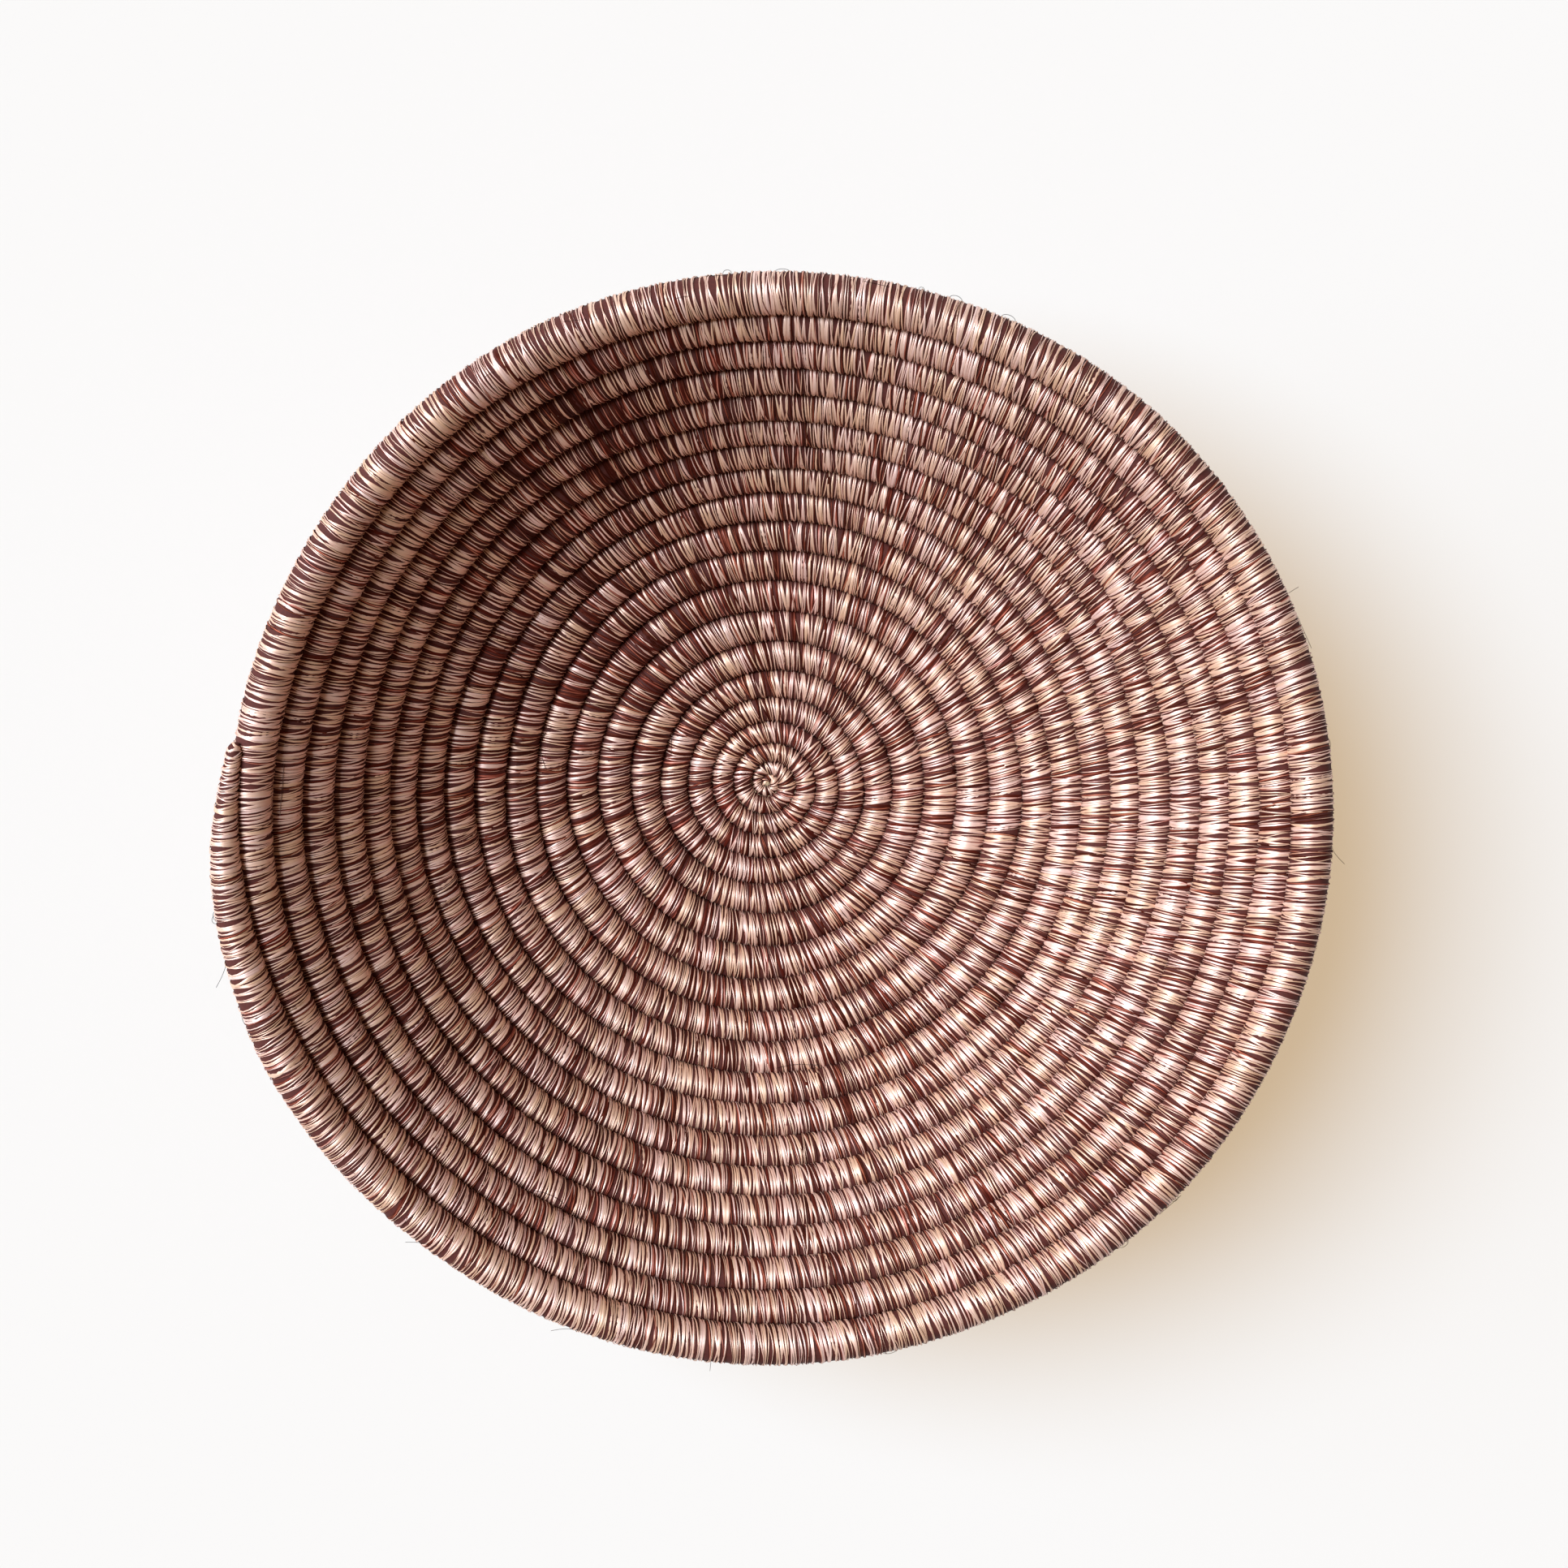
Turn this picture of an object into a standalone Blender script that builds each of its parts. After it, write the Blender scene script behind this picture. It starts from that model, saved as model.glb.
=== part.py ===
"""Coiled basket bowl: a bundle of dry grass, bound with dyed sisal and wound in one long coil.

The coil starts at a knot in the middle of the base, lies flat for the first rounds, curves up into
the wall and ends in a tapered tail that lies on the outside of the rim. Metres, +Z up. The origin
is under the knot, on the surface that the bowl stands on.
"""

import math

import bmesh
import bpy
from mathutils import Matrix, Vector, geometry
from mathutils.bvhtree import BVHTree

MM = 0.001

# The bowl's section, along the middle of the coil: flat, then an arc, then a straight wall.
BASE_RADIUS = 20 * MM
BOWL_RADIUS = 119 * MM
WALL_SLOPE = math.radians(48.5)
OUT_OF_ROUND = 0.5 * MM         # what the rim gains along X, and loses along Y

# The coil. It grows to its full width over the first rounds, as the weaver feeds in more grass.
ROUNDS = 19
COIL_WIDTH = 9.4 * MM
START_WIDTH = 4.0 * MM
GROWTH_ROUNDS = 5.9
ROUND_GAP = 0.8 * MM
BASE_CUT = 0.5 * MM             # how deep the base is cut flat, so that it stands

# Both ends of the coil taper, each to its own width at the very tip.
START_TIP_WIDTH = 2.8 * MM
START_TAPER_ROUNDS = 0.5
TAIL_TIP_WIDTH = 5.0 * MM
TAIL_TAPER_ANGLE = math.radians(33)
TAIL_AZIMUTH = math.radians(171)

# The grass inside the sisal, and the splices where the strands of one round end.
WRAP_WALL = 0.9 * MM
GRASS_CLEARANCE = 0.3 * MM
SPLICE_GAP = 0.3 * MM
BORE_OVERSHOOT = 0.5 * MM
START_COVER_ANGLE = math.radians(70)    # the first strands close the coil's start this far
TAIL_COVER_ANGLE = math.radians(3)      # and the last ones close its tail

# The knot that the coil is wound on.
KNOT_RADIUS = 1.8 * MM
KNOT_HEIGHT = 4.2 * MM
KNOT_GAP = 0.3 * MM
KNOT_ROUNDING = 0.4 * MM
KNOT_SIDES = 12

# Points on a loop. The smallest loops have every second one.
LOOP_POINTS = 24
SMALL_LOOPS = 6

WRAP_SIDES = 6
GRASS_SIDES = 4
WELD_DISTANCE = 0.01 * MM
SHARP_ANGLE = math.radians(35)

FULL_TURN = 2 * math.pi
WRAP_CORNER = 1 / math.cos(math.pi / WRAP_SIDES)      # corner radius over half width
GRASS_CORNER = 1 / math.cos(math.pi / GRASS_SIDES)

SISAL_ROSE = (0.56, 0.33, 0.27, 1)
SISAL_MAROON = (0.20, 0.075, 0.065, 1)
GRASS_STRAW = (0.52, 0.42, 0.22, 1)
DARK_SHARES = (0.35, 0.50)      # how much maroon is among the rose, in every other round


def clear_scene():
    for old in list(bpy.data.objects):
        bpy.data.objects.remove(old, do_unlink=True)


def new_collection(name):
    collection = bpy.data.collections.new(name)
    bpy.context.scene.collection.children.link(collection)
    return collection


def new_material(name, colour, roughness):
    material = bpy.data.materials.new(name)
    material.use_nodes = True
    shader = material.node_tree.nodes["Principled BSDF"]
    shader.inputs["Base Color"].default_value = colour
    shader.inputs["Roughness"].default_value = roughness
    shader.inputs["Metallic"].default_value = 0
    material.diffuse_color = colour
    return material


def blend(first, second, share):
    return tuple(a + (b - a) * share for a, b in zip(first, second))


# The coil's path. A place on it is a number of rounds from its start at the knot.

def untapered_half(rounds):
    """Half the coil's width as it grows from the start, before the tail tapers."""
    growth = min(1, rounds / GROWTH_ROUNDS)
    width = START_WIDTH + (COIL_WIDTH - START_WIDTH) * growth
    tip_share = START_TIP_WIDTH / START_WIDTH
    taper = min(1, rounds / START_TAPER_ROUNDS)
    return width / 2 * (tip_share + (1 - tip_share) * taper)


def half_width(rounds):
    tip_share = TAIL_TIP_WIDTH / COIL_WIDTH
    taper = min(1, (ROUNDS - rounds) * FULL_TURN / TAIL_TAPER_ANGLE)
    return untapered_half(rounds) * (tip_share + (1 - tip_share) * taper)


def run_out(rounds):
    """Distance from the knot's middle, along the bowl's section: each round lies on the one inside it.

    The first round leaves the knot steadily, so that its end meets the tip of its own start.
    """
    if rounds < 1:
        first_step = 2 * half_width(0) + ROUND_GAP
        return KNOT_RADIUS + KNOT_GAP + half_width(rounds) + first_step * rounds
    inner = rounds - 1
    return run_out(inner) + half_width(inner) + ROUND_GAP + half_width(rounds)


def section_slope(distance):
    return min(max(distance - BASE_RADIUS, 0) / BOWL_RADIUS, WALL_SLOPE)


def section_point(distance):
    """Radius and height of the bowl's section at a distance along it."""
    slope = section_slope(distance)
    wall = max(distance - BASE_RADIUS - BOWL_RADIUS * WALL_SLOPE, 0)
    radius = min(distance, BASE_RADIUS) + BOWL_RADIUS * math.sin(slope) + wall * math.cos(slope)
    height = BOWL_RADIUS * (1 - math.cos(slope)) + wall * math.sin(slope)
    return radius, height


RIM_RADIUS = section_point(run_out(ROUNDS - 1))[0]
OVAL = OUT_OF_ROUND / RIM_RADIUS


class CoilPoint:
    """A point of the coil: where it is, half its width there, and the section's slope."""

    def __init__(self, place, half, slope, rounds):
        self.place = place
        self.half = half
        self.slope = slope
        self.rounds = rounds

    def towards(self, other, rounds):
        share = (rounds - self.rounds) / (other.rounds - self.rounds)
        place = self.place.lerp(other.place, share)
        half = self.half + (other.half - self.half) * share
        slope = self.slope + (other.slope - self.slope) * share
        return CoilPoint(place, half, slope, rounds)


def coil_point(rounds):
    """A point of the coil. All its widths stand on the same flat base."""
    distance = run_out(rounds)
    radius, height = section_point(distance)
    azimuth = TAIL_AZIMUTH + (ROUNDS - rounds) * FULL_TURN
    x = radius * math.cos(azimuth) * (1 + OVAL)
    y = radius * math.sin(azimuth) * (1 - OVAL)
    z = height + untapered_half(rounds) * WRAP_CORNER - BASE_CUT
    return CoilPoint(Vector((x, y, z)), half_width(rounds), section_slope(distance), rounds)


def coil_corners():
    """All points of the coil. A round's ends are at whole numbers, on a straight piece between two."""
    places = [0]
    for step in range(LOOP_POINTS * ROUNDS):
        if step % 2 == 0 or step >= LOOP_POINTS * SMALL_LOOPS:
            places.append((step + 0.5) / LOOP_POINTS)
    places.append(ROUNDS)
    return [coil_point(rounds) for rounds in places]


COIL = coil_corners()


def point_on_coil(rounds):
    for before, after in zip(COIL, COIL[1:]):
        if rounds <= after.rounds:
            return before.towards(after, rounds)
    return COIL[-1]


def stretch(first, last):
    """The coil's points from one place to another, with an end point on each."""
    inside = [point for point in COIL if first < point.rounds < last]
    return [point_on_coil(first)] + inside + [point_on_coil(last)]


def as_rounds(length, rounds):
    """A short length along the coil, in rounds."""
    radius = section_point(run_out(rounds))[0]
    return length / (FULL_TURN * radius)


# Solids.

def weld_and_face_out(mesh):
    shape = bmesh.new()
    shape.from_mesh(mesh)
    bmesh.ops.remove_doubles(shape, verts=shape.verts, dist=WELD_DISTANCE)
    bmesh.ops.recalc_face_normals(shape, faces=shape.faces)
    shape.to_mesh(mesh)
    shape.free()


def tube(name, points, half_widths, sides, collection):
    """A closed tube along the points. Its flat sides face the neighbouring rounds."""
    corner = 1 / math.cos(math.pi / sides)
    curve = bpy.data.curves.new(name, "CURVE")
    curve.dimensions = "3D"
    curve.twist_mode = "Z_UP"
    curve.bevel_mode = "ROUND"
    curve.bevel_depth = max(half_widths) * corner
    curve.bevel_resolution = sides // 2 - 2
    curve.use_fill_caps = True
    spline = curve.splines.new("POLY")
    spline.points.add(len(points) - 1)
    for target, point, half in zip(spline.points, points, half_widths):
        target.co = (*point.place, 1)
        target.radius = half / max(half_widths)
        target.tilt = point.slope + math.pi / sides
    wire = bpy.data.objects.new(name + "_curve", curve)
    collection.objects.link(wire)
    bpy.context.view_layer.update()
    evaluated = wire.evaluated_get(bpy.context.evaluated_depsgraph_get())
    mesh = bpy.data.meshes.new_from_object(evaluated)
    mesh.name = name
    bpy.data.objects.remove(wire, do_unlink=True)
    weld_and_face_out(mesh)
    solid = bpy.data.objects.new(name, mesh)
    collection.objects.link(solid)
    return solid


def cut(solid, cutter):
    boolean = solid.modifiers.new("cut_" + cutter.name, "BOOLEAN")
    boolean.operation = "DIFFERENCE"
    boolean.solver = "EXACT"
    boolean.object = cutter


def hide_cutter(cutter):
    cutter.hide_render = True
    cutter.display_type = "WIRE"


# The grass stops short of both tips, where the strands close over it.
GRASS_FIRST = START_COVER_ANGLE / FULL_TURN
GRASS_LAST = ROUNDS - TAIL_COVER_ANGLE / FULL_TURN


def bore_halves(points):
    """Half the square bore's width along the coil. Its corners leave the sisal its wall."""
    corner_share = 1 - WRAP_WALL / (COIL_WIDTH / 2)
    return [point.half * corner_share / GRASS_CORNER for point in points]


def grass_halves(points):
    return [half - GRASS_CLEARANCE for half in bore_halves(points)]


def make_grass_core(collection):
    """The grass bundle, one unbroken tube through all the rounds."""
    points = stretch(GRASS_FIRST, GRASS_LAST)
    core = tube("grass_core", points, grass_halves(points), GRASS_SIDES, collection)
    core.data.materials.append(new_material("dry_grass", GRASS_STRAW, 0.85))
    return core


def make_bore(name, first, last, cutters):
    """The hole for the grass in one round. It runs on past the round's splices, not past the tips."""
    tip_first = GRASS_FIRST - as_rounds(GRASS_CLEARANCE, GRASS_FIRST)
    tip_last = GRASS_LAST + as_rounds(GRASS_CLEARANCE, GRASS_LAST)
    bore_first = max(first - as_rounds(BORE_OVERSHOOT, first), tip_first)
    bore_last = min(last + as_rounds(BORE_OVERSHOOT, last), tip_last)
    points = stretch(bore_first, bore_last)
    bore = tube(name + "_bore", points, bore_halves(points), GRASS_SIDES, cutters)
    hide_cutter(bore)
    return bore


def make_table_cutter(cutters):
    """The space under the bowl, wide enough to cut every round that the table would flatten."""
    rise = math.sqrt(2 * BOWL_RADIUS * BASE_CUT)
    size = 2 * (BASE_RADIUS + rise + 2 * COIL_WIDTH)
    bpy.ops.mesh.primitive_cube_add(size=1)
    table = bpy.context.object
    table.name = "table_cutter"
    table.data.transform(Matrix.Diagonal((size, size, size, 1)))
    table.data.transform(Matrix.Translation((0, 0, -size / 2)))
    for owner in list(table.users_collection):
        owner.objects.unlink(table)
    cutters.objects.link(table)
    hide_cutter(table)
    return table


def make_sisal_wrap(number, collection, cutters, table):
    """The strands that bind one round of the coil, as one bored tube."""
    name = "sisal_wrap_%02d" % number
    first = number - 1
    last = number
    if number > 1:
        first += as_rounds(SPLICE_GAP / 2, first)
    if number < ROUNDS:
        last -= as_rounds(SPLICE_GAP / 2, last)
    points = stretch(first, last)
    wrap = tube(name, points, [point.half for point in points], WRAP_SIDES, collection)
    cut(wrap, make_bore(name, first, last, cutters))
    if min(vertex.co.z for vertex in wrap.data.vertices) < 0:
        cut(wrap, table)
    colour = blend(SISAL_ROSE, SISAL_MAROON, DARK_SHARES[number % 2])
    wrap.data.materials.append(new_material(name, colour, 0.45))
    wrap.data.shade_smooth()
    wrap.data.set_sharp_from_angle(angle=SHARP_ANGLE)
    return wrap


def make_start_knot(collection):
    """The knot of strands that the first loop is wound on: a small turned button, flat underneath."""
    flat = KNOT_RADIUS - KNOT_ROUNDING
    outline = [
        (0, KNOT_HEIGHT),
        (flat, KNOT_HEIGHT - KNOT_ROUNDING / 2),
        (KNOT_RADIUS, KNOT_HEIGHT / 2),
        (flat, 0),
        (0, 0),
    ]
    edges = [(index, index + 1) for index in range(len(outline) - 1)]
    mesh = bpy.data.meshes.new("start_knot")
    mesh.from_pydata([(radius, 0, height) for radius, height in outline], edges, [])
    mesh.materials.append(new_material("start_knot", SISAL_ROSE, 0.45))
    knot = bpy.data.objects.new("start_knot", mesh)
    collection.objects.link(knot)
    screw = knot.modifiers.new("turned", "SCREW")
    screw.axis = "Z"
    screw.angle = FULL_TURN
    screw.steps = KNOT_SIDES
    screw.render_steps = KNOT_SIDES
    screw.use_merge_vertices = True
    screw.merge_threshold = WELD_DISTANCE
    screw.use_smooth_shade = True
    return knot


# The gaps, measured on the solids' own points.

def surface_points(mesh):
    corners = [vertex.co for vertex in mesh.vertices]
    middles = [(corners[edge.vertices[0]] + corners[edge.vertices[1]]) / 2 for edge in mesh.edges]
    return corners + middles


def least_gap_of_wraps(wraps):
    """From each round to the next one, away from the splice where the two meet end to end."""
    least = math.inf
    for number, (inner, outer) in enumerate(zip(wraps, wraps[1:]), start=1):
        shape = bmesh.new()
        shape.from_mesh(outer.data)
        surface = BVHTree.FromBMesh(shape)
        shape.free()
        splice = point_on_coil(number).place
        for point in surface_points(inner.data):
            if (point - splice).length > COIL_WIDTH:
                least = min(least, surface.find_nearest(point)[3])
    return least


def least_gap_of_core(points):
    """From each point of the grass to the same bundle, half a round or more further on."""
    corners = [half * GRASS_CORNER for half in grass_halves(points)]
    least = math.inf
    for point, corner in zip(points, corners):
        for start, end, other in zip(points, points[1:], corners):
            if 0.5 < start.rounds - point.rounds < 1.5:
                nearest = geometry.intersect_point_line(point.place, start.place, end.place)[0]
                least = min(least, (nearest - point.place).length - corner - other)
    return least


def main():
    clear_scene()
    parts = new_collection("coiled_basket_bowl")
    cutters = new_collection("cutters")
    table = make_table_cutter(cutters)
    make_start_knot(parts)
    make_grass_core(parts)
    wraps = [make_sisal_wrap(number, parts, cutters, table) for number in range(1, ROUNDS + 1)]
    core_gap = least_gap_of_core(stretch(GRASS_FIRST, GRASS_LAST))
    print("least gap of the sisal to its next round: %.2f mm" % (least_gap_of_wraps(wraps) / MM))
    print("least gap of the grass to its next round: %.2f mm" % (core_gap / MM))


main()
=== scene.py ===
"""A coiled sisal basket bowl, seen from above: a bundle of dry grass, bound with dyed strands."""

import math
import random

import bpy
from mathutils import Matrix, Vector


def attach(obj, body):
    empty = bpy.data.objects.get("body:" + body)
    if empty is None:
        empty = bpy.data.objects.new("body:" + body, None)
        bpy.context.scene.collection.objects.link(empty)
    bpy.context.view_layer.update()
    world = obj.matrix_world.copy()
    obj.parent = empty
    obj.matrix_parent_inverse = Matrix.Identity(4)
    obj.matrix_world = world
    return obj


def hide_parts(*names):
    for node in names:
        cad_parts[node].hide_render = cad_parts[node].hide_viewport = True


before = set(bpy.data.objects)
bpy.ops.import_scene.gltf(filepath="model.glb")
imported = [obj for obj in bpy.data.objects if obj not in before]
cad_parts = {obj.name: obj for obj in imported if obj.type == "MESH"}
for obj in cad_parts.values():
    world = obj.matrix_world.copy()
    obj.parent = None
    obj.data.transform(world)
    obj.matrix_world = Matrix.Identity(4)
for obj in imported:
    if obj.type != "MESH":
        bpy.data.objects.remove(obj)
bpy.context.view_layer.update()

# The camera
# It looks down on the bowl from a little behind its middle, as the photograph does. Its place and
# its tilt come from the creases between the rounds.

CAMERA_PLACE = (-0.03134, 0.10014, 0.67348)
CAMERA_TILT_X = math.radians(-8.519)
CAMERA_TILT_Y = math.radians(-3.062)
SENSOR_WIDTH = 36
LENS = 50.31

camera = bpy.data.objects.new("camera", bpy.data.cameras.new("camera"))
bpy.context.scene.collection.objects.link(camera)
bpy.context.scene.camera = camera
camera.data.sensor_width = SENSOR_WIDTH
camera.data.lens = LENS
camera_tilt = Matrix.Rotation(CAMERA_TILT_X, 4, "X") @ Matrix.Rotation(CAMERA_TILT_Y, 4, "Y")
camera.matrix_world = Matrix.Translation(CAMERA_PLACE) @ camera_tilt

bpy.context.scene.view_settings.view_transform = "Standard"

# The floor and the light
# A wide white sheet of card under the bowl. A tall soft window of daylight stands on the left,
# towards the back: its upper part gives most of the light. The pale room fills in the shade.

FLOOR_SIZE = 6.0
CARD = (0.794, 0.764, 0.739, 1)
CARD_ROUGHNESS = 0.95
SHADE_GLOW = (0.56, 0.42, 0.27, 1)       # what the camera sees of the card in deep shade
WINDOW_SPREAD = math.radians(36)
WINDOW_COLOUR = (0.825, 0.92, 1.0)
WINDOW_PARTS = {                         # azimuth, height and strength
    "window_top": (153, 50, 4.08),
    "window_foot": (163, 28, 1.2),
}
ROOM_COLOUR = (1.0, 0.665, 0.44)
ROOM_STRENGTH = 0.185
BACKDROP = (0.965, 0.965, 0.955, 1)      # what the camera sees beyond the card
MIX_FIRST = 6                            # a Mix node's sockets for its two colours and its result
MIX_SECOND = 7
MIX_RESULT = 2


def new_material(name):
    material = bpy.data.materials.new(name)
    material.use_nodes = True
    return material, material.node_tree, material.node_tree.nodes["Principled BSDF"]


def seen_apart(tree, lighting, seen):
    """A colour that differs between the light and the camera's own rays, and the test for these."""
    camera_ray = tree.nodes.new("ShaderNodeLightPath").outputs["Is Camera Ray"]
    colour = tree.nodes.new("ShaderNodeMix")
    colour.data_type = "RGBA"
    colour.inputs[MIX_FIRST].default_value = lighting
    colour.inputs[MIX_SECOND].default_value = seen
    tree.links.new(camera_ray, colour.inputs["Factor"])
    return colour.outputs[MIX_RESULT], camera_ray


card, card_tree, card_shader = new_material("white_card")
card_seen = [part * (1 - glow) for part, glow in zip(CARD, SHADE_GLOW)]
card_colour, card_ray = seen_apart(card_tree, CARD, card_seen)
card_tree.links.new(card_colour, card_shader.inputs["Base Color"])
card_tree.links.new(card_ray, card_shader.inputs["Emission Strength"])
card_shader.inputs["Emission Color"].default_value = SHADE_GLOW
card_shader.inputs["Roughness"].default_value = CARD_ROUGHNESS
card_shader.inputs["Specular IOR Level"].default_value = 0

floor_mesh = bpy.data.meshes.new("floor")
half_floor = FLOOR_SIZE / 2
floor_corners = [(-half_floor, -half_floor, 0), (half_floor, -half_floor, 0)]
floor_corners += [(half_floor, half_floor, 0), (-half_floor, half_floor, 0)]
floor_mesh.from_pydata(floor_corners, [], [(0, 1, 2, 3)])
floor_mesh.materials.append(card)
floor = bpy.data.objects.new("floor", floor_mesh)
bpy.context.scene.collection.objects.link(floor)

for part, (azimuth, height, strength) in WINDOW_PARTS.items():
    window = bpy.data.objects.new(part, bpy.data.lights.new(part, "SUN"))
    bpy.context.scene.collection.objects.link(window)
    window.data.color = WINDOW_COLOUR
    window.data.energy = strength
    window.data.angle = WINDOW_SPREAD
    window.rotation_euler = (math.radians(90 - height), 0, math.radians(azimuth + 90))

room = bpy.data.worlds.new("room")
bpy.context.scene.world = room
room.use_nodes = True
room_light = (*[part * ROOM_STRENGTH for part in ROOM_COLOUR], 1)
room_colour = seen_apart(room.node_tree, room_light, BACKDROP)[0]
room.node_tree.links.new(room_colour, room.node_tree.nodes["Background"].inputs["Color"])

# The grass core
# One bundle of dry grass stems runs inside the coil from its middle to its tail, and more stems are
# fed in as it is wound. The strands hide it all. It is straw-coloured, dull and a little twisted.

MM = 0.001
FULL_TURN = 2 * math.pi

GRASS_PALE = (0.60, 0.49, 0.27, 1)
GRASS_BROWN = (0.36, 0.26, 0.12, 1)
GRASS_ROUGHNESS = 0.85
STEM_GRAIN = 900.0
STEMS_AROUND = 6
STEM_GROOVE = 0.12               # how deep the grooves between the stems are, over the bundle's radius
STEM_SHARE = 0.72                # the bundle's width over the coil's
STEM_TWIST = 9.0                 # turns of the bundle in each round
GRASS_START = 0.2                # where on the coil the bundle starts, in rounds
GRASS_STOP = 0.01                # how far before the coil's end it stops

ROUNDS = 19
ROUND_STEPS = 120
FEWEST_STEPS = 24
BASE_RADIUS = 20 * MM
BOWL_RADIUS = 119 * MM
WALL_SLOPE = math.radians(48.5)
OUT_OF_ROUND = 0.5 * MM
COIL_WIDTH = 9.4 * MM
START_WIDTH = 4.0 * MM
GROWTH_ROUNDS = 5.9
ROUND_GAP = 0.8 * MM
BASE_CUT = 0.5 * MM              # how much of the coil is pressed flat under the base
START_TIP_WIDTH = 2.8 * MM
START_TAPER_ROUNDS = 0.5
KNOT_REACH = 2.1 * MM
WRAP_CORNER = 1 / math.cos(math.pi / 6)      # of the CAD model's six-sided coil, over its half width

TAIL_TIP_WIDTH = 5.0 * MM
TAIL_TAPER_ANGLE = math.radians(33)
TAIL_AZIMUTH = math.radians(171)
TAIL_NECK = 0.36                 # how much thinner the drawn-in end is
TAIL_NECK_ANGLE = math.radians(13)
TAIL_END_ANGLE = math.radians(0.6)
TAIL_END_ROUNDING = 0.9
TAIL_TUCK = 0.4 * MM             # how far the tail is pressed into the rim
TAIL_TUCK_ANGLE = math.radians(20)

CURL_RADIUS = 0.6 * MM           # of the rolled start, at its tip
CURL_ROUNDS = 1.05
CURL_THINNING = 0.25

# Where the handmade wall stands out or in, at the rim: azimuth, spread and amount in mm.
UNEVEN = [(180, 16, 1.4), (75, 20, -1.3), (230, 15, -1.0), (314, 26, 0.9), (19, 14, 0.7)]

# The small waves of the wall: height, waves in a turn, shift from round to round, and start.
WALL_WAVES = [(1, 3, 0.9, 0), (0.7, 5, -1.3, 2), (0.5, 9, 2.1, 1)]
WAVE_HEIGHT = 0.22               # mm
EVEN_ROUNDS = 6                  # the rounds over which the waves grow to their height

# The small swellings of the coil: their height, and how close they follow each other.
THICKNESS_WAVE = 0.025
SWELLINGS = 29
SLOW_SWELLINGS = 11.3


def smooth(share):
    return share * share * (3 - 2 * share)


def untapered_half(place):
    """Half the coil's width, as the bundle grows from the start. A place is counted in rounds."""
    width = START_WIDTH + (COIL_WIDTH - START_WIDTH) * min(1, place / GROWTH_ROUNDS)
    tip = START_TIP_WIDTH / START_WIDTH
    return width / 2 * (tip + (1 - tip) * min(1, place / START_TAPER_ROUNDS))


def half_width(place):
    """Half the coil's width. The tail tapers, is drawn in before its end, and ends round."""
    tip = TAIL_TIP_WIDTH / COIL_WIDTH
    to_end = (ROUNDS - place) * FULL_TURN
    taper = min(1, to_end / TAIL_TAPER_ANGLE)
    drawn_in = 1 - TAIL_NECK * (1 - smooth(min(1, to_end / TAIL_NECK_ANGLE)))
    rounded = math.sqrt(1 - TAIL_END_ROUNDING * (1 - min(1, to_end / TAIL_END_ANGLE)) ** 2)
    return untapered_half(place) * (tip + (1 - tip) * taper) * drawn_in * rounded


def run_out(place):
    """Distance along the bowl's section. Each round lies on the one inside it."""
    if place < 1:
        return KNOT_REACH + half_width(place) + (2 * half_width(0) + ROUND_GAP) * place
    tuck = TAIL_TUCK * max(0, 1 - (ROUNDS - place) * FULL_TURN / TAIL_TUCK_ANGLE)
    return run_out(place - 1) + half_width(place - 1) + ROUND_GAP - tuck + half_width(place)


def section(distance):
    """Radius, height and slope of the bowl's section: flat, then an arc, then a straight wall."""
    slope = min(max(distance - BASE_RADIUS, 0) / BOWL_RADIUS, WALL_SLOPE)
    wall = max(distance - BASE_RADIUS - BOWL_RADIUS * WALL_SLOPE, 0)
    radius = min(distance, BASE_RADIUS) + BOWL_RADIUS * math.sin(slope) + wall * math.cos(slope)
    height = BOWL_RADIUS * (1 - math.cos(slope)) + wall * math.sin(slope)
    return radius, height, slope


OVAL = OUT_OF_ROUND / section(run_out(ROUNDS - 1))[0]


def unevenness(place, azimuth):
    """How far the wall stands out of its even shape: broadly at the rim, and a little everywhere."""
    broad = 0
    for middle, spread, amount in UNEVEN:
        away = (math.degrees(azimuth) - middle + 180) % 360 - 180
        broad += amount * math.exp(-((away / spread) ** 2))
    waves = 0
    for height, count, shift, start in WALL_WAVES:
        waves += height * math.sin(count * azimuth + shift * place + start)
    return (broad * (place / ROUNDS) ** 3 + WAVE_HEIGHT * waves * min(1, place / EVEN_ROUNDS)) * MM


def coil_azimuth(place):
    return TAIL_AZIMUTH + (ROUNDS - place) * FULL_TURN


def coil_point(place):
    """Place, slope and half width of the coil's middle. Below 0 it is the start, rolled into the eye."""
    wound_place = min(max(place, 0), ROUNDS)
    radius, height, slope = section(run_out(wound_place))
    azimuth = coil_azimuth(place)
    radius += unevenness(wound_place, azimuth)
    thickness = 1 + THICKNESS_WAVE * math.sin(SWELLINGS * place) * math.sin(SLOW_SWELLINGS * place + 1)
    half = half_width(wound_place) * thickness
    if place < 0:
        radius = CURL_RADIUS + (radius - CURL_RADIUS) * max(0, 1 + place / CURL_ROUNDS)
        half *= 1 + CURL_THINNING * place / CURL_ROUNDS
    x = radius * math.cos(azimuth) * (1 + OVAL)
    y = radius * math.sin(azimuth) * (1 - OVAL)
    z = height + untapered_half(wound_place) * WRAP_CORNER - BASE_CUT
    return Vector((x, y, z)), slope, half


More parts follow.
